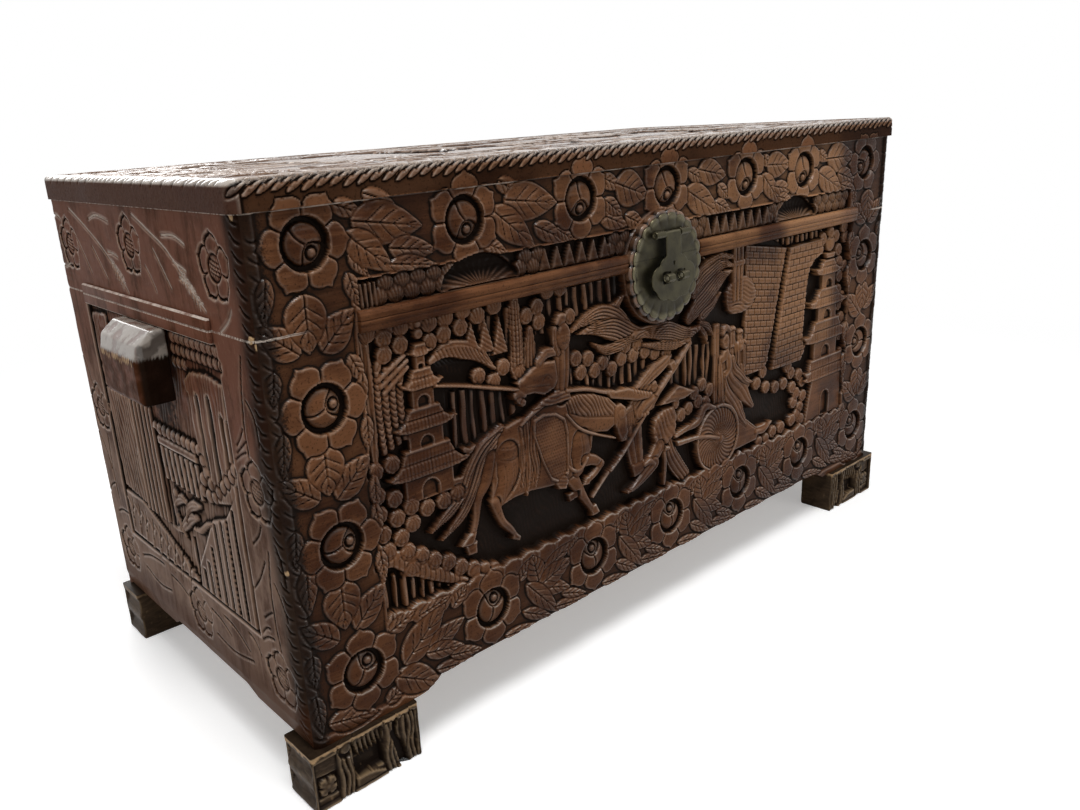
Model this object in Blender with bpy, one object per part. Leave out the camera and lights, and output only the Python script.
"""Carved camphor-wood blanket chest: a case on four block feet, a hinged lid and a hanging hasp.

Sizes are in metres. Every piece is drawn in the case's own frame: X to the right from the middle, Y to the
back from the middle of the case's depth, Z up from the case's lower edge. Three empties carry the pieces:
one stands the case on the floor, one lies on the lid's hinge axis and one on the hasp's pin.
"""

import math

import bmesh
import bpy
from mathutils import Matrix, Vector

# Case and lid as a whole
CASE_WIDTH = 1.020
CASE_DEPTH = 0.470
CASE_HEIGHT = 0.388
LID_RAIL_HEIGHT = 0.0995
TOP_THICKNESS = 0.0255
TOP_OVERHANG = 0.0035
FOOT_HEIGHT = 0.063

# Boards
FRONT_THICKNESS = 0.030
SIDE_THICKNESS = 0.022
BACK_THICKNESS = 0.024
FLOOR_THICKNESS = 0.018
FLOOR_LIFT = 0.0125
CORNER_RADIUS = 0.015
BACK_CORNER_RADIUS = 0.006
TOP_CORNER_RADIUS = 0.013
TOP_EDGE_RADIUS = 0.006
SIDE_BEVEL_HEIGHT = 0.022
SIDE_BEVEL_DEPTH = 0.005

# Fits and cutters
FIT_GAP = 0.0003
OVERCUT = 0.004
CURVE_STEPS = 4
SMOOTH_ANGLE = math.radians(40.0)

# Shallow arch along the lower edges of the front and the sides
ARCH_RISE = 0.0105
ARCH_RUN = 0.018
FRONT_ARCH_END = 0.136
SIDE_ARCH_FRONT_END = 0.116
SIDE_ARCH_BACK_END = 0.146

# Sunk scene on the front, and the borders round it
STILE_LEFT = 0.0964
STILE_RIGHT = 0.0918
BOTTOM_BORDER = 0.102
SCENE_DEPTH = 0.014

# Large forms of the scene, which stand up from its ground. They are drawn on a field of height 1
# and length SCENE_LENGTH_SHARE, from its lower left corner. A pagoda is its middle, its foot, its
# tip, and for each roof the half width and the level of the eaves. The fan is its middle and
# radius, the wheel its middle, the radii of its rim outside and inside, and its hub's radius.
FORM_HEIGHT = 0.0115
SCENE_LENGTH_SHARE = 3.024
FORM_SIDES = 24
PAGODA_SHARES = (
    (0.245, 0.375, 0.980, ((0.150, 0.465), (0.122, 0.620), (0.080, 0.785))),
    (2.800, 0.000, 0.980, ((0.190, 0.200), (0.180, 0.410), (0.143, 0.600), (0.100, 0.760))),
)
ROOF_RISE_SHARE = 0.075
ROOF_RIDGE_SHARE = 0.45
STOREY_SHARE = 0.62
FINIAL_SHARE = 0.012
WALL_SHARES = (
    ((2.105, 0.400), (2.315, 0.375), (2.430, 0.940), (2.145, 0.960)),
    ((2.340, 0.385), (2.635, 0.375), (2.750, 0.930), (2.460, 0.940)),
)
RIDER_SHARES = (
    (1.30, 0.31), (1.27, 0.45), (1.19, 0.54), (1.02, 0.55), (0.93, 0.59), (0.92, 0.73), (0.90, 0.87),
    (0.75, 0.73), (0.72, 0.57), (0.53, 0.52), (0.48, 0.45), (0.24, 0.24), (0.34, 0.24), (0.45, 0.35),
    (0.39, 0.10), (0.44, 0.10), (0.55, 0.24), (0.59, 0.05), (0.64, 0.05), (0.70, 0.20), (0.92, 0.20),
    (1.02, 0.05), (1.07, 0.06), (1.03, 0.21), (1.12, 0.18), (1.16, 0.26), (1.21, 0.35),
)
SERVANT_SHARES = (
    (1.61, 0.47), (1.50, 0.37), (1.43, 0.34), (1.43, 0.20), (1.26, 0.11), (1.28, 0.07), (1.47, 0.13),
    (1.45, 0.06), (1.50, 0.06), (1.60, 0.15), (1.60, 0.35), (1.71, 0.37),
)
SEATED_SHARES = (
    (1.89, 0.60), (1.87, 0.50), (1.82, 0.40), (1.85, 0.25), (2.00, 0.25), (2.08, 0.10), (2.35, 0.06),
    (2.35, 0.10), (2.15, 0.30), (2.04, 0.47), (2.00, 0.60),
)
SOLDIER_SHARES = ((1.27, 0.30), (1.41, 0.30), (1.42, 0.43), (1.38, 0.55), (1.30, 0.55), (1.26, 0.43))
BIRD_SHARES = (
    (0.96, 0.85), (0.99, 0.78), (1.12, 0.77), (1.27, 0.72), (1.66, 0.63), (1.73, 0.66), (1.75, 0.78),
    (1.86, 0.80), (1.98, 0.86), (1.97, 0.96), (1.82, 0.95), (1.74, 0.88), (1.62, 0.75), (1.32, 0.80),
    (1.32, 0.84), (1.12, 0.88),
)
FAN_SHARES = (2.05, 0.78, 0.115)
WHEEL_SHARES = (1.90, 0.14, 0.165, 0.135, 0.035)
SPOKES = 8
SPOKE_SHARE = 0.010

# Sunk field of the lid's top board: pagodas, walls, a bird and hills stand up in it, drawn in the
# same shares from its right end. A hill is its middle, its foot and half its width.
TOP_BORDER = 0.090
TOP_FIELD_DEPTH = 0.005
TOP_FORM_HEIGHT = 0.0038
TOP_SCENE_LIFT = 0.0054
HILL_SHARES = (
    (0.700, 0.252, 0.124), (0.923, 0.153, 0.158), (1.170, 0.203, 0.114), (1.763, 0.276, 0.099),
    (1.961, 0.153, 0.148),
)
HILL_RISES = ((-1.0, 0.0), (-0.3, 0.198), (0.0, 0.277), (0.4, 0.168), (1.0, 0.0))

# Round cups of the rosettes on the top's border
TOP_CUP_COLUMNS = 7
TOP_CUP_ROWS = 4
TOP_CUP_END_INSET = 0.0456
TOP_CUP_FRONT_INSET = 0.0526
TOP_CUP_BACK_INSET = 0.0468
TOP_CUP_RADIUS = 0.0204
TOP_CUP_DEPTH = 0.0045
TOP_BUD_RADIUS = 0.0150
TOP_BUD_HEIGHT = 0.0034

# Rosettes of the borders: a round cup with a bud in it
CUP_RADIUS = 0.0225
CUP_DEPTH = 0.008
CUP_SIDES = 16
BUD_RADIUS = 0.0155
BUD_HEIGHT = 0.0055
BUD_RING_SHARES = ((1.0, -0.2), (1.0, 0.1), (0.75, 0.7), (0.35, 1.0))
ROSETTE_INSET = 0.057
BOTTOM_ROSETTE_HEIGHT = 0.056
STILE_ROSETTE_LOW = 0.190
STILE_ROSETTE_HIGH = 0.319
LID_ROSETTE_RISE = 0.070
LID_ROSETTE_SHARES = (-1.0, -0.645, -0.300, 0.007, 0.345, 0.635, 0.985)
CASE_ROSETTE_SHARES = (-0.985, -0.625, -0.280, 0.030, 0.355, 0.680, 1.0)

# Mouldings on the front and flat strips on the sides, each half on the case and half on the lid
MOULDING_PROUD = 0.006
MOULDING_CASE_HEIGHT = 0.0109
MOULDING_LID_HEIGHT = 0.0088
MOULDING_CASE_SHARES = (
    (0, 0), (1, 0), (1, 0.30), (0.72, 0.42), (0.88, 0.56), (0.80, 0.80), (0.35, 1), (0, 1),
)
MOULDING_LID_SHARES = ((0, 0), (1, 0), (1, 0.55), (0.75, 0.85), (0.35, 1), (0, 1))
STRIP_PROUD = 0.0035
STRIP_CASE_HEIGHT = 0.0116
STRIP_LID_HEIGHT = 0.0105
STRIP_FRONT_END = 0.0765
STRIP_BACK_END = 0.068
EDGE_BREAK = 0.0012

# Thumb scoops in the lid's front rail
SCOOP_OFFSET = 0.272
SCOOP_HALF_WIDTH = 0.047
SCOOP_HEIGHT = 0.0275
SCOOP_DEPTH_LOW = 0.002
SCOOP_DEPTH_HIGH = 0.014
SCOOP_STEPS = 12

# Feet
FOOT_LENGTH = 0.122
FOOT_WIDTH = 0.051
FOOT_PROUD = 0.006
FOOT_WAVE = 0.004
FOOT_WAVE_SHARES = ((0.0, 0.02), (1.0, 0.10), (0.2, 0.30), (0.9, 0.55), (0.1, 0.68), (0.5, 0.93), (1.6, 1.0))

# Handles: carved blocks with a finger hollow below
HANDLE_LENGTH = 0.104
HANDLE_HEIGHT = 0.071
HANDLE_PROUD = 0.033
HANDLE_HOLLOW_DEPTH = 0.022
HANDLE_HOLLOW_HEIGHT = 0.036
HANDLE_CHEEK = 0.013
HANDLE_EDGE = 0.007
HANDLE_SECTION_SHARES = ((0, 0), (0.92, 0), (1, 0.07), (1, 0.62), (0.86, 0.82), (0.40, 1), (0, 1))

# Lock boss and plate
LOCK_OFFSET = -0.007
LOCK_DROP = 0.0127
BOSS_RADIUS = 0.0635
BOSS_THICKNESS = 0.007
PLATE_RADIUS = 0.060
PLATE_THICKNESS = 0.0018
LOBES = 22
LOBE_DEPTH = 0.0022
STEPS_PER_LOBE = 4

# Hasp, its pin and the ears that hold the pin
PIN_RISE = 0.0256
PIN_RADIUS = 0.0016
EAR_RADIUS = 0.0042
EAR_LENGTH = 0.016
KNUCKLE_RADIUS = 0.0032
KNUCKLE_LENGTH = 0.026
HASP_THICKNESS = 0.0018
HASP_STANDOFF = 0.0065
CLOUD_HALF_WIDTH = 0.038
CLOUD_TOP = 0.0010
CLOUD_STEPS = 44
CLOUD_LOBE_SHARES = (
    (0.32, -0.32, 0.32),
    (0.61, -0.63, 0.40),
    (0.45, -0.95, 0.32),
    (0.00, -0.93, 0.43),
)
LEG_RADIUS = 0.0020
LEG_DEPTH = 0.012
SMALL_SIDES = 12

# Eyes for a padlock bar
EYE_DROP = 0.022
EYE_SPACING = 0.025
EYE_RADIUS = 0.0050
EYE_BORE = 0.0033
EYE_LENGTH = 0.011
EYE_CLEARANCE = 0.0014

# Hinges at the back
HINGE_END_GAP = 0.180
HINGE_LENGTH = 0.060
HINGE_LEAF_WIDTH = 0.0115
HINGE_LEAF_THICKNESS = 0.0016
HINGE_INSET = 0.008
BARREL_RADIUS = 0.0040
HINGE_PIN_RADIUS = 0.0014
BARREL_CLEARANCE = 0.0005
STOP_ANGLE = math.radians(97.0)

# Hinge screws
SCREW_HEAD_RADIUS = 0.0030
SCREW_RADIUS = 0.0014
SCREW_LENGTH = 0.014
SCREW_SIDES = 10
SCREW_PLACE_SHARES = (-0.36, 0.0, 0.36)

# Planes and places that several pieces share
HALF_WIDTH = CASE_WIDTH / 2
HALF_DEPTH = CASE_DEPTH / 2
FRONT_Y = -HALF_DEPTH
SPLIT = CASE_HEIGHT
LID_BASE = SPLIT + FIT_GAP
LID_JOINT = LID_BASE + LID_RAIL_HEIGHT
LOCK_Z = SPLIT - LOCK_DROP
PLATE_BACK = BOSS_THICKNESS + FIT_GAP
PLATE_FRONT = PLATE_BACK + PLATE_THICKNESS
PIN_OUT = PLATE_FRONT + FIT_GAP + EAR_RADIUS
PIN_Z = SPLIT + PIN_RISE
HASP_BACK = PLATE_FRONT + HASP_STANDOFF
HASP_FRONT = HASP_BACK + HASP_THICKNESS
EYE_OUT = HASP_FRONT + EYE_BORE + FIT_GAP
EYE_Z = SPLIT - EYE_DROP
BORE_RADIUS = PIN_RADIUS + FIT_GAP
HINGE_OFFSET = HALF_WIDTH - HINGE_END_GAP
HINGE_Y = HALF_DEPTH - HINGE_INSET
HINGE_Z = SPLIT + FIT_GAP / 2
FRONT_REACH = EYE_OUT + EYE_RADIUS

# Empties' places: the case on the floor, the lid's axis and the hasp's pin
CASE_PLACE = Vector((0, (FRONT_REACH - FOOT_PROUD) / 2, FOOT_HEIGHT))
LID_PLACE = Vector((0, HINGE_Y, HINGE_Z))
HASP_PLACE = Vector((LOCK_OFFSET, FRONT_Y - PIN_OUT, PIN_Z))

# Finishes: colour, roughness, metallic
CARVED_WOOD = ((0.115, 0.047, 0.024), 0.42, 0.0)
SIDE_WOOD = ((0.120, 0.042, 0.022), 0.40, 0.0)
TOP_WOOD = ((0.130, 0.065, 0.040), 0.35, 0.0)
INNER_WOOD = ((0.300, 0.170, 0.090), 0.60, 0.0)
FOOT_WOOD = ((0.090, 0.050, 0.030), 0.60, 0.0)
OLD_BRASS = ((0.090, 0.085, 0.045), 0.45, 0.9)
HINGE_BRASS = ((0.300, 0.210, 0.090), 0.45, 0.9)


def clear_scene():
    """Remove whatever objects the file starts with."""
    for thing in list(bpy.data.objects):
        bpy.data.objects.remove(thing, do_unlink=True)


def new_object(name, bm):
    """Link a mesh object made from a bmesh, with its faces pointing out."""
    bmesh.ops.recalc_face_normals(bm, faces=bm.faces)
    mesh = bpy.data.meshes.new(name)
    bm.to_mesh(mesh)
    bm.free()
    piece = bpy.data.objects.new(name, mesh)
    bpy.context.scene.collection.objects.link(piece)
    return piece


def axis_frame(axis):
    """Matrix that takes an outline's (u, v, along) to X, Y and Z for a prism along the named axis."""
    columns = {
        "X": ((0, 1, 0), (0, 0, 1), (1, 0, 0)),
        "Y": ((1, 0, 0), (0, 0, 1), (0, 1, 0)),
        "Z": ((1, 0, 0), (0, 1, 0), (0, 0, 1)),
    }[axis]
    return Matrix(columns).transposed()


def prism(name, outline, axis, start, end):
    """Extrude an outline along an axis: its points are (y, z), (x, z) or (x, y) for X, Y or Z."""
    frame = axis_frame(axis)
    bm = bmesh.new()
    base = [bm.verts.new(frame @ Vector((u, v, start))) for u, v in outline]
    face = bm.faces.new(base)
    made = bmesh.ops.extrude_face_region(bm, geom=[face])
    moved = [item for item in made["geom"] if isinstance(item, bmesh.types.BMVert)]
    bmesh.ops.translate(bm, verts=moved, vec=frame @ Vector((0, 0, end - start)))
    return new_object(name, bm)


def box(name, low, high):
    """A box between two corners."""
    outline = rectangle(low[0], low[1], high[0], high[1])
    return prism(name, outline, "Z", low[2], high[2])


def rectangle(left, low, right, high):
    """Corners of a rectangle, counter-clockwise."""
    return [(left, low), (right, low), (right, high), (left, high)]


def arc(centre, radius, first, last, steps):
    """Points on an arc between two angles in degrees, both ends included."""
    points = []
    for step in range(steps + 1):
        angle = math.radians(first + (last - first) * step / steps)
        points.append((centre[0] + radius * math.cos(angle), centre[1] + radius * math.sin(angle)))
    return points


def circle(centre, radius, sides):
    """Points round a circle, with a flat side at each end of both axes."""
    start = 180 / sides
    return arc(centre, radius, start, start + 360 - 360 / sides, sides - 1)


def rod(name, axis, centre, radius, start, end, sides=SMALL_SIDES):
    """A round rod along an axis, smooth round its side."""
    piece = prism(name, circle(centre, radius, sides), axis, start, end)
    shade_round(piece)
    return piece


def skin_rings(bm, rings):
    """Close rings of vertices into one body: a band between each two rings and a face on each end."""
    for lower, upper in zip(rings, rings[1:]):
        for index in range(len(lower)):
            after = (index + 1) % len(lower)
            bm.faces.new((lower[index], lower[after], upper[after], upper[index]))
    bm.faces.new(rings[0])
    bm.faces.new(rings[-1])


def turned(name, profile, centre, base_z, sides):
    """Turn a profile of (radius, height) rings about a vertical line."""
    bm = bmesh.new()
    rings = []
    for radius, height in profile:
        points = circle(centre, radius, sides)
        rings.append([bm.verts.new((x, y, base_z + height)) for x, y in points])
    skin_rings(bm, rings)
    piece = new_object(name, bm)
    shade_round(piece)
    return piece


def shade_round(piece):
    """Smooth shading that keeps the sharp edges."""
    piece.data.shade_smooth()
    piece.data.set_sharp_from_angle(angle=SMOOTH_ANGLE)


def apply_modifier(piece, modifier):
    """Turn a modifier's result into the piece's own mesh."""
    with bpy.context.temp_override(object=piece, active_object=piece):
        bpy.ops.object.modifier_apply(modifier=modifier.name)


def combine(piece, tool, operation):
    """Cut a piece with a tool or join the tool to it, and remove the tool."""
    modifier = piece.modifiers.new("shape", "BOOLEAN")
    modifier.operation = operation
    modifier.solver = "EXACT"
    modifier.object = tool
    apply_modifier(piece, modifier)
    bpy.data.objects.remove(tool, do_unlink=True)


def cut(piece, tool):
    """Cut a tool's shape out of a piece."""
    combine(piece, tool, "DIFFERENCE")


def join(piece, other):
    """Make one body of two overlapping shapes."""
    combine(piece, other, "UNION")


def clip(outline, level, keep_above):
    """The part of an outline above or below a level of its second coordinate."""
    sign = 1 if keep_above else -1
    kept = []
    for index, (u, v) in enumerate(outline):
        last_u, last_v = outline[index - 1]
        inside = sign * (v - level) >= 0
        was_inside = sign * (last_v - level) >= 0
        if inside != was_inside:
            share = (level - last_v) / (v - last_v)
            kept.append((last_u + share * (u - last_u), level))
        if inside:
            kept.append((u, v))
    return kept


def finish(piece, carrier, offset, wood_or_metal):
    """Hang a piece on its empty and give it its own material."""
    colour, roughness, metallic = wood_or_metal
    material = bpy.data.materials.new(piece.name)
    material.use_nodes = True
    shader = material.node_tree.nodes["Principled BSDF"]
    shader.inputs["Base Color"].default_value = (*colour, 1)
    shader.inputs["Roughness"].default_value = roughness
    shader.inputs["Metallic"].default_value = metallic
    piece.data.materials.clear()
    piece.data.materials.append(material)
    piece.parent = carrier
    piece.location = -offset
    return piece


def make_empties():
    """The three carriers: case on the floor, lid's hinge axis, hasp's pin."""
    empties = {}
    for name, place, parent in (
        ("case_carrier", CASE_PLACE, None),
        ("lid_axis", LID_PLACE, "case_carrier"),
        ("hasp_axis", HASP_PLACE - LID_PLACE, "lid_axis"),
    ):
        empty = bpy.data.objects.new(name, None)
        bpy.context.scene.collection.objects.link(empty)
        empty.location = place
        empty.parent = empties.get(parent)
        empties[name] = empty
    return empties


def on_case(piece, finish_values):
    """A piece fixed to the case."""
    return finish(piece, bpy.data.objects["case_carrier"], Vector((0, 0, 0)), finish_values)


def on_lid(piece, finish_values):
    """A piece fixed to the lid."""
    return finish(piece, bpy.data.objects["lid_axis"], LID_PLACE, finish_values)


def on_hasp(piece, finish_values):
    """A piece that swings with the hasp."""
    return finish(piece, bpy.data.objects["hasp_axis"], HASP_PLACE, finish_values)


def mirrored(outline):
    """The same outline on the other side of its first axis."""
    return [(-u, v) for u, v in reversed(outline)]


def half_corner(radius, along_front):
    """One board's half of a rounded corner, from the mitre to the board's face, seen from above.

    The corner is the front left one of a case whose outer faces meet at (0, 0).
    """
    middle, face = 225, 270 if along_front else 180
    return arc((radius, radius), radius, middle, face, CURVE_STEPS)[1:]


def front_plan():
    """Plan of a front board with mitred ends and half of each rounded corner."""
    outer = [(-HALF_WIDTH + u, FRONT_Y + v) for u, v in half_corner(CORNER_RADIUS, True)]
    corner = CORNER_RADIUS * (1 - math.sqrt(0.5))
    mitre = (-HALF_WIDTH + corner + FIT_GAP, FRONT_Y + corner)
    inner = (-HALF_WIDTH + SIDE_THICKNESS + FIT_GAP, FRONT_Y + FRONT_THICKNESS)
    left = [inner, mitre] + outer
    return left + mirrored(left)


def back_plan():
    """Plan of a back board."""
    outer = [(-HALF_WIDTH + u, HALF_DEPTH - v) for u, v in half_corner(BACK_CORNER_RADIUS, True)]
    corner = BACK_CORNER_RADIUS * (1 - math.sqrt(0.5))
    mitre = (-HALF_WIDTH + corner + FIT_GAP, HALF_DEPTH - corner)
    inner = (-HALF_WIDTH + SIDE_THICKNESS + FIT_GAP, HALF_DEPTH - BACK_THICKNESS)
    left = [inner, mitre] + outer
    return left + mirrored(left)


def side_plan():
    """Plan of the left side board, with its share of the two rounded corners."""
    front = [(-HALF_WIDTH + u, FRONT_Y + v) for u, v in half_corner(CORNER_RADIUS, False)]
    back = [(-HALF_WIDTH + u, HALF_DEPTH - v) for u, v in half_corner(BACK_CORNER_RADIUS, False)]
    front_corner = CORNER_RADIUS * (1 - math.sqrt(0.5))
    back_corner = BACK_CORNER_RADIUS * (1 - math.sqrt(0.5))
    inner_x = -HALF_WIDTH + SIDE_THICKNESS
    return (
        [(inner_x, FRONT_Y + FRONT_THICKNESS + FIT_GAP)]
        + [(-HALF_WIDTH + front_corner, FRONT_Y + front_corner + FIT_GAP)]
        + front
        + list(reversed(back))
        + [(-HALF_WIDTH + back_corner, HALF_DEPTH - back_corner - FIT_GAP)]
        + [(inner_x, HALF_DEPTH - BACK_THICKNESS - FIT_GAP)]
    )


def arch_outline(left, right):
    """A shallow arch with sloped ends, below an edge at height zero."""
    low = -OVERCUT
    slope = ARCH_RUN / ARCH_RISE
    return [
        (left - slope * OVERCUT, low),
        (right + slope * OVERCUT, low),
        (right - ARCH_RUN, ARCH_RISE),
        (left + ARCH_RUN, ARCH_RISE),
    ]


def stop_groove(above):
    """The sloped cut along the back edges that lets the lid lean back and then stops it."""
    drop = HINGE_INSET * math.tan(STOP_ANGLE / 2)
    reach = (HINGE_INSET + OVERCUT) / HINGE_INSET
    if above:
        edge = LID_BASE
        tip = LID_BASE + drop * reach
    else:
        edge = SPLIT
        tip = SPLIT - drop * reach
    beyond = edge - OVERCUT if above else edge + OVERCUT
    outline = [
        (HINGE_Y, edge),
        (HALF_DEPTH + OVERCUT, tip),
        (HALF_DEPTH + OVERCUT, beyond),
        (HINGE_Y, beyond),
    ]
    return prism("groove", outline, "X", -HALF_WIDTH - OVERCUT, HALF_WIDTH + OVERCUT)


def rosette_places(shares):
    """X places of a border's rosettes, from shares of the outermost one's place."""
    reach = HALF_WIDTH - ROSETTE_INSET
    return [share * reach for share in shares]


def carve_cup(board, x, z):
    """Sink a rosette's round cup into a front board and leave the bud in it."""
    floor_y = FRONT_Y + CUP_DEPTH
    cut(board, rod("cup", "Y", (x, z), CUP_RADIUS, FRONT_Y - OVERCUT, floor_y, CUP_SIDES))
    bm = bmesh.new()
    rings = []
    for radius_share, height_share in BUD_RING_SHARES:
        points = circle((x, z), BUD_RADIUS * radius_share, SMALL_SIDES)
        rings.append([bm.verts.new((u, floor_y - BUD_HEIGHT * height_share, v)) for u, v in points])
    skin_rings(bm, rings)
    join(board, new_object("bud", bm))


def pagoda_outline(middle, foot, tip, roofs):
    """A pagoda's outline from the middle of its foot up its right side and down its left, in shares."""
    right = []
    level = foot
    for half, eaves in roofs:
        right += [(half * STOREY_SHARE, level), (half * STOREY_SHARE, eaves), (half, eaves)]
        level = eaves + ROOF_RISE_SHARE
        right.append((half * ROOF_RIDGE_SHARE, level))
    right += [(FINIAL_SHARE, level), (FINIAL_SHARE, tip)]
    return [(middle + u, v) for u, v in right + mirrored(right)]


def round_outline(middle, height, radius):
    """A round form's outline, in shares."""
    return circle((middle, height), radius, FORM_SIDES)


def spoke_outline(angle):
    """One spoke of the cart wheel, from the hub to the rim, in shares."""
    middle, height, rim, rim_bore, hub = WHEEL_SHARES
    along = Vector((math.cos(angle), math.sin(angle)))
    across = Vector((-along.y, along.x)) * SPOKE_SHARE
    centre = Vector((middle, height))
    inner = centre + along * hub / 2
    outer = centre + along * (rim + rim_bore) / 2
    return [tuple(inner - across), tuple(outer - across), tuple(outer + across), tuple(inner + across)]


def scene_unit():
    """The length that a share of 1 stands for along the scene."""
    return (CASE_WIDTH - STILE_LEFT - STILE_RIGHT) / SCENE_LENGTH_SHARE


def scene_form(outline):
    """Stand one outline of the scene up from the ground, with its root in the board."""
    left = -HALF_WIDTH + STILE_LEFT
    unit_x = scene_unit()
    unit_z = SPLIT - MOULDING_CASE_HEIGHT - BOTTOM_BORDER
    points = [(left + unit_x * u, BOTTOM_BORDER + unit_z * v) for u, v in outline]
    ground = FRONT_Y + SCENE_DEPTH
    return prism("form", points, "Y", ground - FORM_HEIGHT, ground + OVERCUT)


def make_wheel():
    """The cart wheel: rim, hub and spokes in one."""
    middle, height, rim, rim_bore, hub = WHEEL_SHARES
    wheel = scene_form(round_outline(middle, height, rim))
    cut(wheel, scene_form(round_outline(middle, height, rim_bore)))
    for index in range(SPOKES):
        join(wheel, scene_form(spoke_outline(math.tau * index / SPOKES)))
    join(wheel, scene_form(round_outline(middle, height, hub)))
    return wheel


def carve_scene(panel):
    """Leave the scene's large forms standing in the sunk field: roofs, walls, riders, wheel and birds."""
    outlines = [pagoda_outline(*shares) for shares in PAGODA_SHARES]
    outlines += list(WALL_SHARES)
    outlines += [BIRD_SHARES, RIDER_SHARES, SERVANT_SHARES, SEATED_SHARES, SOLDIER_SHARES]
    outlines.append(round_outline(*FAN_SHARES))
    for outline in outlines:
        join(panel, scene_form(outline))
    join(panel, make_wheel())


def make_front_panel():
    """The front board: sunk scene with an island for the lock, rosettes, and the arch below."""
    panel = prism("front_panel", front_plan(), "Z", 0, SPLIT)
    left = -HALF_WIDTH + STILE_LEFT
    right = HALF_WIDTH - STILE_RIGHT
    top = SPLIT - MOULDING_CASE_HEIGHT
    floor_y = FRONT_Y + SCENE_DEPTH
    field = prism("field", rectangle(left, BOTTOM_BORDER, right, top), "Y", FRONT_Y - OVERCUT, floor_y)
    island = prism("island", scallops(BOSS_RADIUS), "Y", FRONT_Y - 2 * OVERCUT, floor_y + OVERCUT)
    cut(field, island)
    cut(panel, field)
    carve_scene(panel)
    arch = arch_outline(-HALF_WIDTH + FRONT_ARCH_END, HALF_WIDTH - FRONT_ARCH_END)
    cut(panel, prism("arch", arch, "Y", FRONT_Y - OVERCUT, FRONT_Y + FRONT_THICKNESS + OVERCUT))
    for x in rosette_places(CASE_ROSETTE_SHARES):
        carve_cup(panel, x, BOTTOM_ROSETTE_HEIGHT)
    for x in (-HALF_WIDTH + ROSETTE_INSET, HALF_WIDTH - ROSETTE_INSET):
        carve_cup(panel, x, STILE_ROSETTE_LOW)
        carve_cup(panel, x, STILE_ROSETTE_HIGH)
    for side in (-1, 1):
        x = LOCK_OFFSET + side * EYE_SPACING / 2
        cut(panel, leg_hole(x, EYE_Z))
    return on_case(panel, CARVED_WOOD)


def leg_hole(x, z):
    """The hole that an eye's or an ear's leg goes into, through plate, boss and board."""
    start = FRONT_Y - PLATE_FRONT - OVERCUT
    end = FRONT_Y + LEG_DEPTH + FIT_GAP
    return rod("leg hole", "Y", (x, z), LEG_RADIUS + FIT_GAP, start, end)


def make_back_panel():
    """The back board, with the stop groove along its top and a seat for each hinge."""
    panel = prism("back_panel", back_plan(), "Z", 0, SPLIT)
    cut(panel, stop_groove(False))
    for side in (-1, 1):
        seat_hinge(panel, side * HINGE_OFFSET, False)
    return on_case(panel, SIDE_WOOD)


def make_side_panel(name, side):
    """A side board, with the arch and the bevel along its lower edge."""
    plan = side_plan() if side < 0 else mirrored(side_plan())
    panel = prism(name, plan, "Z", 0, SPLIT)
    arch = arch_outline(FRONT_Y + SIDE_ARCH_FRONT_END, HALF_DEPTH - SIDE_ARCH_BACK_END)
    outer = side * (HALF_WIDTH + OVERCUT)
    inner = side * (HALF_WIDTH - SIDE_THICKNESS - OVERCUT)
    cut(panel, prism("arch", arch, "X", min(outer, inner), max(outer, inner)))
    slope = SIDE_BEVEL_DEPTH / SIDE_BEVEL_HEIGHT
    bevel = [
        (side * (HALF_WIDTH + slope * OVERCUT), SIDE_BEVEL_HEIGHT + OVERCUT),
        (side * (HALF_WIDTH - SIDE_BEVEL_DEPTH - slope * OVERCUT), -OVERCUT),
        (side * (HALF_WIDTH + OVERCUT), -OVERCUT),
    ]
    bevel_start = FRONT_Y + CORNER_RADIUS
    bevel_end = HALF_DEPTH - BACK_CORNER_RADIUS
    cut(panel, prism("bevel", bevel, "Y", bevel_start, bevel_end))
    cut(panel, stop_groove(False))
    return on_case(panel, SIDE_WOOD)


def make_bottom_board():
    """The bottom board, held between the four walls."""
    low = (
        -HALF_WIDTH + SIDE_THICKNESS + FIT_GAP,
        FRONT_Y + FRONT_THICKNESS + FIT_GAP,
        FLOOR_LIFT,
    )
    high = (
        HALF_WIDTH - SIDE_THICKNESS - FIT_GAP,
        HALF_DEPTH - BACK_THICKNESS - FIT_GAP,
        FLOOR_LIFT + FLOOR_THICKNESS,
    )
    return on_case(box("bottom_board", low, high), INNER_WOOD)


def foot_outline():
    """A foot seen from the front: its outer end is worn into two waves."""
    outer = -HALF_WIDTH - FOOT_PROUD
    inner = outer + FOOT_LENGTH
    top = -FIT_GAP
    tall = FOOT_HEIGHT + top
    end = [(outer + FOOT_WAVE * inward, top - tall * down) for inward, down in FOOT_WAVE_SHARES]
    return end + [(inner, -FOOT_HEIGHT), (inner, top)]


def make_foot(name, side, at_front):
    """One block foot, a little proud of the case on its two outer faces."""
    outline = foot_outline() if side < 0 else mirrored(foot_outline())
    if at_front:
        start = FRONT_Y - FOOT_PROUD
        end = start + FOOT_WIDTH
    else:
        end = HALF_DEPTH + FOOT_PROUD
        start = end - FOOT_WIDTH
    return on_case(prism(name, outline, "Y", start, end), FOOT_WOOD)


def moulding_outline(on_lid_side):
    """Section of half the moulding: how far out, how high."""
    if on_lid_side:
        base, height, shares = LID_BASE, MOULDING_LID_HEIGHT, MOULDING_LID_SHARES
    else:
        base, height, shares = SPLIT, -MOULDING_CASE_HEIGHT, MOULDING_CASE_SHARES
    back = FRONT_Y - FIT_GAP
    return [(back - MOULDING_PROUD * out, base + height * up) for out, up in shares]


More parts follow.
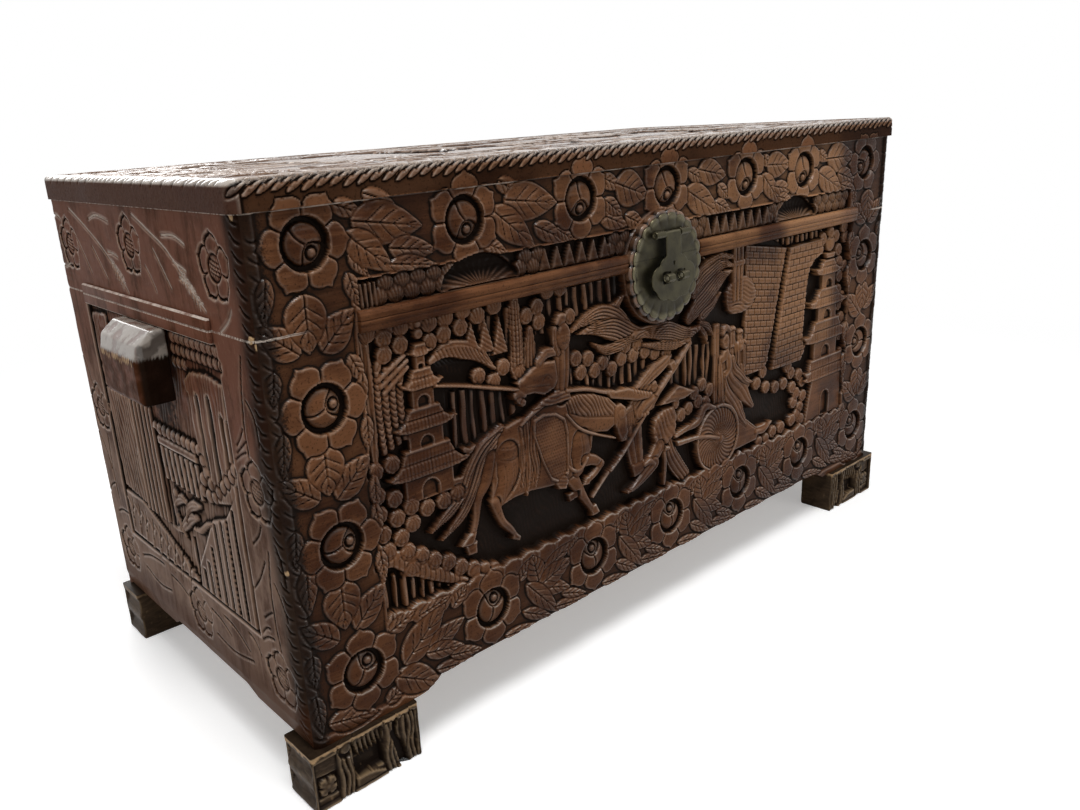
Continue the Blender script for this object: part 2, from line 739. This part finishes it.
def make_moulding(name, side, on_lid_side):
    """One half moulding on one side of the lock boss."""
    if side < 0:
        start = -HALF_WIDTH + STILE_LEFT
        end = LOCK_OFFSET - BOSS_RADIUS - FIT_GAP
    else:
        start = LOCK_OFFSET + BOSS_RADIUS + FIT_GAP
        end = HALF_WIDTH - STILE_RIGHT
    piece = prism(name, moulding_outline(on_lid_side), "X", start, end)
    place = on_lid if on_lid_side else on_case
    return place(piece, CARVED_WOOD)


def make_strip(name, side, on_lid_side):
    """Half of the flat strip on a side."""
    back = HALF_WIDTH + FIT_GAP
    face = back + STRIP_PROUD
    bevel = face - EDGE_BREAK
    if on_lid_side:
        low, high = LID_BASE, LID_BASE + STRIP_LID_HEIGHT
        outline = [(back, low), (face, low), (face, high - EDGE_BREAK), (bevel, high), (back, high)]
    else:
        low, high = SPLIT - STRIP_CASE_HEIGHT, SPLIT
        outline = [(back, low), (bevel, low), (face, low + EDGE_BREAK), (face, high), (back, high)]
    if side < 0:
        outline = mirrored(outline)
    piece = prism(name, outline, "Y", FRONT_Y + STRIP_FRONT_END, HALF_DEPTH - STRIP_BACK_END)
    place = on_lid if on_lid_side else on_case
    return place(piece, SIDE_WOOD)


def scallops(radius):
    """A round outline of even lobes about the lock's middle."""
    points = []
    count = LOBES * STEPS_PER_LOBE
    for index in range(count):
        angle = math.tau * index / count
        reach = radius - LOBE_DEPTH * (1 - abs(math.cos(LOBES * angle / 2)))
        points.append((LOCK_OFFSET + reach * math.cos(angle), LOCK_Z + reach * math.sin(angle)))
    return points


def make_lock_half(name, radius, back, front, on_lid_side):
    """The part of a scalloped disc above or below the split, with the holes for the legs on it."""
    level = LID_BASE if on_lid_side else SPLIT
    outline = clip(scallops(radius), level, on_lid_side)
    piece = prism(name, outline, "Y", FRONT_Y - front, FRONT_Y - back)
    for side in (-1, 1):
        if on_lid_side:
            x, z = ear_middle(side), PIN_Z
        else:
            x, z = LOCK_OFFSET + side * EYE_SPACING / 2, EYE_Z
        cut(piece, leg_hole(x, z))
    return piece


def ear_middle(side):
    """X of the middle of an ear."""
    return LOCK_OFFSET + side * (KNUCKLE_LENGTH / 2 + FIT_GAP + EAR_LENGTH / 2)


def ring_rod(name, centre, radius, bore, start, end):
    """A short tube along X; its bore is cut later, once its neighbours have joined it."""
    piece = rod(name, "X", centre, radius, start, end)
    hole = rod("bore", "X", centre, bore, start - OVERCUT, end + OVERCUT)
    return piece, hole


def make_ear(name, side):
    """An ear that holds the hasp's pin: a tube with a leg driven through plate, boss and rail."""
    middle = ear_middle(side)
    half = EAR_LENGTH / 2
    centre = (FRONT_Y - PIN_OUT, PIN_Z)
    ear, hole = ring_rod(name, centre, EAR_RADIUS, BORE_RADIUS, middle - half, middle + half)
    join(ear, rod("leg", "Y", (middle, PIN_Z), LEG_RADIUS, FRONT_Y - PIN_OUT, FRONT_Y + LEG_DEPTH))
    cut(ear, hole)
    return on_lid(ear, OLD_BRASS)


def make_hasp_pin():
    """The pin through both ears and the hasp's knuckle."""
    reach = KNUCKLE_LENGTH / 2 + FIT_GAP + EAR_LENGTH
    centre = (FRONT_Y - PIN_OUT, PIN_Z)
    pin = rod("hasp_pin", "X", centre, PIN_RADIUS, LOCK_OFFSET - reach, LOCK_OFFSET + reach)
    return on_lid(pin, OLD_BRASS)


def make_eye(name, side):
    """An eye for the padlock's bar: a short tube on a leg driven through plate, boss and panel."""
    middle = LOCK_OFFSET + side * EYE_SPACING / 2
    half = EYE_LENGTH / 2
    centre = (FRONT_Y - EYE_OUT, EYE_Z)
    eye, hole = ring_rod(name, centre, EYE_RADIUS, EYE_BORE, middle - half, middle + half)
    join(eye, rod("leg", "Y", (middle, EYE_Z), LEG_RADIUS, FRONT_Y - EYE_OUT, FRONT_Y + LEG_DEPTH))
    cut(eye, hole)
    return on_case(eye, OLD_BRASS)


def cloud_outline():
    """The hasp's cloud: the outer edge of seven round lobes, seen from the front."""
    middle_v = CLOUD_LOBE_SHARES[1][1]
    lobes = []
    for u, v, radius in CLOUD_LOBE_SHARES:
        for sign in (-1, 1):
            lobes.append((sign * u, v - middle_v, radius))
    points = []
    for index in range(CLOUD_STEPS):
        angle = math.tau * index / CLOUD_STEPS
        ray = Vector((math.cos(angle), math.sin(angle)))
        reach = 0
        for u, v, radius in lobes:
            along = ray.dot(Vector((u, v)))
            miss = u * u + v * v - along * along
            if miss < radius * radius:
                reach = max(reach, along + math.sqrt(radius * radius - miss))
        u = reach * ray.x * CLOUD_HALF_WIDTH
        v = (middle_v + reach * ray.y) * CLOUD_HALF_WIDTH
        points.append((LOCK_OFFSET + u, SPLIT + CLOUD_TOP + v))
    return points


def make_hasp():
    """The hasp: a knuckle on the pin, a strap that leans outward and the cloud with its two windows."""
    low_x = LOCK_OFFSET - KNUCKLE_LENGTH / 2
    high_x = LOCK_OFFSET + KNUCKLE_LENGTH / 2
    hasp = prism("hasp", cloud_outline(), "Y", FRONT_Y - HASP_FRONT, FRONT_Y - HASP_BACK)
    top_front = PIN_OUT + KNUCKLE_RADIUS
    overlap = SPLIT + CLOUD_TOP - CLOUD_HALF_WIDTH * CLOUD_LOBE_SHARES[0][2] / 2
    strap = [
        (FRONT_Y - HASP_FRONT, overlap),
        (FRONT_Y - HASP_BACK, overlap),
        (FRONT_Y - HASP_BACK, SPLIT + CLOUD_TOP),
        (FRONT_Y - top_front + HASP_THICKNESS, PIN_Z),
        (FRONT_Y - top_front, PIN_Z),
        (FRONT_Y - HASP_FRONT, SPLIT + CLOUD_TOP),
    ]
    join(hasp, prism("strap", strap, "X", low_x, high_x))
    for side in (-1, 1):
        x = LOCK_OFFSET + side * EYE_SPACING / 2
        half = EYE_LENGTH / 2 + EYE_CLEARANCE
        tall = EYE_RADIUS + EYE_CLEARANCE
        window = rectangle(x - half, EYE_Z - tall, x + half, EYE_Z + tall)
        cut(hasp, prism("window", window, "Y", FRONT_Y - HASP_FRONT - OVERCUT, FRONT_Y - HASP_BACK + OVERCUT))
    centre = (FRONT_Y - PIN_OUT, PIN_Z)
    knuckle, hole = ring_rod("knuckle", centre, KNUCKLE_RADIUS, BORE_RADIUS, low_x, high_x)
    join(hasp, knuckle)
    cut(hasp, hole)
    return on_hasp(hasp, OLD_BRASS)


def handle_outline():
    """Section of a handle: how far out from the side, how high. Its top is worn to a slope."""
    top = SPLIT - STRIP_CASE_HEIGHT - FIT_GAP
    back = HALF_WIDTH + FIT_GAP
    reach = HANDLE_PROUD - FIT_GAP
    return [(back + reach * out, top - HANDLE_HEIGHT * (1 - up)) for out, up in HANDLE_SECTION_SHARES]


def make_handle(name, side):
    """A carved block handle with a finger hollow cut up into it from below."""
    outline = handle_outline()
    low = SPLIT - STRIP_CASE_HEIGHT - FIT_GAP - HANDLE_HEIGHT
    if side < 0:
        outline = mirrored(outline)
    handle = prism(name, outline, "Y", -HANDLE_LENGTH / 2, HANDLE_LENGTH / 2)
    reach = HALF_WIDTH + HANDLE_PROUD + OVERCUT
    for end in (-1, 1):
        outer = end * (HANDLE_LENGTH / 2 + OVERCUT)
        corner = end * (HANDLE_LENGTH / 2 - HANDLE_EDGE)
        wedge = [
            (side * (HALF_WIDTH + HANDLE_PROUD - HANDLE_EDGE), end * HANDLE_LENGTH / 2),
            (side * (HALF_WIDTH + HANDLE_PROUD), corner),
            (side * reach, corner),
            (side * reach, outer),
            (side * (HALF_WIDTH + HANDLE_PROUD - HANDLE_EDGE), outer),
        ]
        cut(handle, prism("worn corner", wedge, "Z", low - OVERCUT, low + HANDLE_HEIGHT + OVERCUT))
    inner_x = side * (HALF_WIDTH - OVERCUT)
    outer_x = side * (HALF_WIDTH + HANDLE_HOLLOW_DEPTH)
    half = HANDLE_LENGTH / 2 - HANDLE_CHEEK
    hollow_low = (min(inner_x, outer_x), -half, low - OVERCUT)
    hollow_high = (max(inner_x, outer_x), half, low + HANDLE_HOLLOW_HEIGHT)
    cut(handle, box("hollow", hollow_low, hollow_high))
    return on_case(handle, SIDE_WOOD)


def scoop(x):
    """Cutter for a thumb scoop: half an oval whose floor slopes in towards its top."""
    base = SPLIT + FIT_GAP + MOULDING_LID_HEIGHT
    outline = []
    for step in range(SCOOP_STEPS + 1):
        angle = math.pi * step / SCOOP_STEPS
        outline.append((SCOOP_HALF_WIDTH * math.cos(angle), SCOOP_HEIGHT * math.sin(angle)))
    bm = bmesh.new()
    outside = [bm.verts.new((x + u, FRONT_Y - OVERCUT, base + v)) for u, v in outline]
    floor = []
    for u, v in outline:
        depth = SCOOP_DEPTH_LOW + (SCOOP_DEPTH_HIGH - SCOOP_DEPTH_LOW) * v / SCOOP_HEIGHT
        floor.append(bm.verts.new((x + u, FRONT_Y + depth, base + v)))
    skin_rings(bm, [outside, floor])
    return new_object("scoop", bm)


def make_lid_front_rail():
    """The lid's front rail, with rosettes, thumb scoops and the holes for the ears' legs."""
    rail = prism("lid_front_rail", front_plan(), "Z", LID_BASE, LID_JOINT)
    for side in (-1, 1):
        cut(rail, scoop(side * SCOOP_OFFSET))
        cut(rail, leg_hole(ear_middle(side), PIN_Z))
    for x in rosette_places(LID_ROSETTE_SHARES):
        carve_cup(rail, x, SPLIT + LID_ROSETTE_RISE)
    return on_lid(rail, CARVED_WOOD)


def make_lid_back_rail():
    """The lid's back rail, with its half of the stop groove and hinge seats."""
    rail = prism("lid_back_rail", back_plan(), "Z", LID_BASE, LID_JOINT)
    cut(rail, stop_groove(True))
    for side in (-1, 1):
        seat_hinge(rail, side * HINGE_OFFSET, True)
    return on_lid(rail, SIDE_WOOD)


def make_lid_side_rail(name, side):
    """A side rail of the lid."""
    plan = side_plan() if side < 0 else mirrored(side_plan())
    rail = prism(name, plan, "Z", LID_BASE, LID_JOINT)
    cut(rail, stop_groove(True))
    return on_lid(rail, SIDE_WOOD)


def top_form(outline, top):
    """Stand one outline up in the top's sunk field, with its root in the board."""
    right = HALF_WIDTH - STILE_LEFT
    front = FRONT_Y + TOP_BORDER + TOP_SCENE_LIFT
    points = [(right - scene_unit() * u, front + scene_unit() * v) for u, v in outline]
    floor = top - TOP_FIELD_DEPTH
    return prism("top form", points, "Z", floor - OVERCUT, floor + TOP_FORM_HEIGHT)


def carve_top_scene(board, top):
    """Leave the top's large forms standing in its sunk field: pagodas, walls, a bird and hills."""
    outlines = [pagoda_outline(*shares) for shares in PAGODA_SHARES]
    outlines += list(WALL_SHARES) + [BIRD_SHARES]
    outlines += [[(middle + half * u, foot + v) for u, v in HILL_RISES] for middle, foot, half in HILL_SHARES]
    for outline in outlines:
        join(board, top_form(outline, top))


def top_cup_places():
    """Middles of the cups round the top's border."""
    left = -HALF_WIDTH + TOP_CUP_END_INSET
    front = FRONT_Y + TOP_CUP_FRONT_INSET
    step_x = -2 * left / (TOP_CUP_COLUMNS - 1)
    step_y = (HALF_DEPTH - TOP_CUP_BACK_INSET - front) / (TOP_CUP_ROWS - 1)
    for row in range(TOP_CUP_ROWS):
        for column in range(TOP_CUP_COLUMNS):
            if row in (0, TOP_CUP_ROWS - 1) or column in (0, TOP_CUP_COLUMNS - 1):
                yield left + column * step_x, front + row * step_y


def carve_top_cup(board, place, top):
    """Sink a rosette's round cup into the top board and leave the bud in it."""
    floor = top - TOP_CUP_DEPTH
    cut(board, rod("cup", "Z", place, TOP_CUP_RADIUS, floor, top + OVERCUT, CUP_SIDES))
    profile = [(TOP_BUD_RADIUS * radius, TOP_BUD_HEIGHT * height) for radius, height in BUD_RING_SHARES]
    join(board, turned("bud", profile, place, floor, SMALL_SIDES))


def make_lid_top():
    """The top board: a small overhang, worn round edges and a sunk field."""
    half_x = HALF_WIDTH + TOP_OVERHANG
    half_y = HALF_DEPTH + TOP_OVERHANG
    base = LID_JOINT + FIT_GAP
    top = base + TOP_THICKNESS
    bm = bmesh.new()
    levels = [(0, 0)]
    for step in range(CURVE_STEPS + 1):
        angle = math.pi / 2 * step / CURVE_STEPS
        inset = TOP_EDGE_RADIUS * (1 - math.cos(angle))
        levels.append((inset, TOP_THICKNESS - TOP_EDGE_RADIUS * (1 - math.sin(angle))))
    rings = []
    for inset, height in levels:
        ring = []
        for turn in range(4):
            sign_x = 1 if turn in (0, 3) else -1
            sign_y = 1 if turn in (0, 1) else -1
            centre = (sign_x * (half_x - TOP_CORNER_RADIUS), sign_y * (half_y - TOP_CORNER_RADIUS))
            corner = arc(centre, TOP_CORNER_RADIUS - inset, 90 * turn, 90 * turn + 90, CURVE_STEPS)
            ring += [bm.verts.new((x, y, base + height)) for x, y in corner]
        rings.append(ring)
    skin_rings(bm, rings)
    board = new_object("lid_top_board", bm)
    low = (-HALF_WIDTH + TOP_BORDER, FRONT_Y + TOP_BORDER, top - TOP_FIELD_DEPTH)
    high = (HALF_WIDTH - TOP_BORDER, HALF_DEPTH - TOP_BORDER, top + OVERCUT)
    cut(board, box("top field", low, high))
    carve_top_scene(board, top)
    for place in top_cup_places():
        carve_top_cup(board, place, top)
    return on_lid(board, TOP_WOOD)


def leaf_box(x, above, grow, deep):
    """Corners of a hinge leaf's plate, grown by a clearance for its seat."""
    near = HINGE_Y - BARREL_RADIUS - BARREL_CLEARANCE
    half = HINGE_LENGTH / 2 + grow
    if above:
        low_z, high_z = LID_BASE - deep, LID_BASE + HINGE_LEAF_THICKNESS + grow
    else:
        low_z, high_z = SPLIT - HINGE_LEAF_THICKNESS - grow, SPLIT + deep
    return (x - half, near - HINGE_LEAF_WIDTH - grow, low_z), (x + half, near + grow, high_z)


def screw_places(x):
    """Middles of a leaf's three screws, seen from above."""
    y = HINGE_Y - BARREL_RADIUS - BARREL_CLEARANCE - HINGE_LEAF_WIDTH / 2
    return [(x + share * HINGE_LENGTH, y) for share in SCREW_PLACE_SHARES]


def screw_profile(above, grow):
    """Rings of a countersunk screw from its head's face, which is flush with the leaf."""
    sign = 1 if above else -1
    return [
        (SCREW_HEAD_RADIUS + grow, 0),
        (SCREW_RADIUS + grow, sign * HINGE_LEAF_THICKNESS),
        (SCREW_RADIUS + grow, sign * (SCREW_LENGTH + grow)),
    ]


def countersink(place, above):
    """Cutter for a screw's hole through a leaf: a cone round the head, then a straight hole."""
    sign = 1 if above else -1
    face = LID_BASE if above else SPLIT
    slope = (SCREW_HEAD_RADIUS - SCREW_RADIUS) / HINGE_LEAF_THICKNESS
    rings = [
        (SCREW_HEAD_RADIUS + FIT_GAP + slope * FIT_GAP, -sign * FIT_GAP),
        (SCREW_RADIUS + FIT_GAP, sign * (HINGE_LEAF_THICKNESS + FIT_GAP)),
        (SCREW_RADIUS + FIT_GAP, sign * (HINGE_LEAF_THICKNESS + OVERCUT)),
    ]
    return turned("countersink", rings, place, face, SCREW_SIDES)


def seat_hinge(board, x, above):
    """Cut a leaf's seat, the barrel's hollow and the screw holes into a back board."""
    low, high = leaf_box(x, above, FIT_GAP, OVERCUT)
    cut(board, box("leaf seat", low, (high[0], HINGE_Y, high[2])))
    half = HINGE_LENGTH / 2 + FIT_GAP
    radius = BARREL_RADIUS + BARREL_CLEARANCE
    cut(board, rod("barrel hollow", "X", (HINGE_Y, HINGE_Z), radius, x - half, x + half))
    face = LID_BASE if above else SPLIT
    for place in screw_places(x):
        cut(board, turned("screw hole", screw_profile(above, FIT_GAP), place, face, SCREW_SIDES))


def knuckle_spans(x, above):
    """The stretches of the barrel that belong to the case's leaf or to the lid's."""
    third = HINGE_LENGTH / 3
    start = x - HINGE_LENGTH / 2
    if above:
        return [(start + third + FIT_GAP, start + 2 * third - FIT_GAP)]
    return [(start, start + third), (start + 2 * third, start + HINGE_LENGTH)]


def make_hinge_leaf(name, x, above):
    """A hinge leaf with its knuckles round the pin's line."""
    low, high = leaf_box(x, above, 0, 0)
    leaf = box(name, low, high)
    bore = HINGE_PIN_RADIUS + FIT_GAP
    for start, end in knuckle_spans(x, above):
        knuckle = rod("knuckle", "X", (HINGE_Y, HINGE_Z), BARREL_RADIUS, start, end)
        bridge_low = (start, high[1] - HINGE_LEAF_THICKNESS, low[2])
        bridge_high = (end, HINGE_Y - bore, high[2])
        join(knuckle, box("bridge", bridge_low, bridge_high))
        join(leaf, knuckle)
    cut(leaf, rod("bore", "X", (HINGE_Y, HINGE_Z), bore, x - HINGE_LENGTH, x + HINGE_LENGTH))
    for place in screw_places(x):
        cut(leaf, countersink(place, above))
    place_on = on_lid if above else on_case
    return place_on(leaf, HINGE_BRASS)


def make_hinge(side):
    """One butt hinge: two leaves, a pin and three screws in each leaf."""
    word = "left" if side < 0 else "right"
    x = side * HINGE_OFFSET
    make_hinge_leaf(f"hinge_case_leaf_{word}", x, False)
    make_hinge_leaf(f"hinge_lid_leaf_{word}", x, True)
    half = HINGE_LENGTH / 2
    pin = rod(f"hinge_pin_{word}", "X", (HINGE_Y, HINGE_Z), HINGE_PIN_RADIUS, x - half, x + half)
    on_case(pin, HINGE_BRASS)
    for number, place in enumerate(screw_places(x), start=1):
        low = turned(f"case_screw_{word}_{number}", screw_profile(False, 0), place, SPLIT, SCREW_SIDES)
        on_case(low, HINGE_BRASS)
        high = turned(f"lid_screw_{word}_{number}", screw_profile(True, 0), place, LID_BASE, SCREW_SIDES)
        on_lid(high, HINGE_BRASS)


def make_lock():
    """Boss and plate, each in two halves, with the ears, the pin, the eyes and the hasp."""
    on_case(make_lock_half("lock_boss_lower", BOSS_RADIUS, FIT_GAP, BOSS_THICKNESS, False), CARVED_WOOD)
    on_lid(make_lock_half("lock_boss_upper", BOSS_RADIUS, FIT_GAP, BOSS_THICKNESS, True), CARVED_WOOD)
    on_case(make_lock_half("lock_plate_lower", PLATE_RADIUS, PLATE_BACK, PLATE_FRONT, False), OLD_BRASS)
    on_lid(make_lock_half("lock_plate_upper", PLATE_RADIUS, PLATE_BACK, PLATE_FRONT, True), OLD_BRASS)
    for word, side in (("left", -1), ("right", 1)):
        make_ear(f"hasp_ear_{word}", side)
        make_eye(f"eye_staple_{word}", side)
    make_hasp_pin()
    make_hasp()


def main():
    """Build the whole chest."""
    clear_scene()
    make_empties()
    make_front_panel()
    make_back_panel()
    make_bottom_board()
    make_lid_front_rail()
    make_lid_back_rail()
    make_lid_top()
    for word, side in (("left", -1), ("right", 1)):
        make_side_panel(f"{word}_panel", side)
        make_lid_side_rail(f"lid_{word}_rail", side)
        make_foot(f"foot_front_{word}", side, True)
        make_foot(f"foot_back_{word}", side, False)
        make_moulding(f"case_moulding_{word}", side, False)
        make_moulding(f"lid_moulding_{word}", side, True)
        make_strip(f"case_strip_{word}", side, False)
        make_strip(f"lid_strip_{word}", side, True)
        make_handle(f"handle_{word}", side)
        make_hinge(side)
    make_lock()


if __name__ == "__main__":
    main()
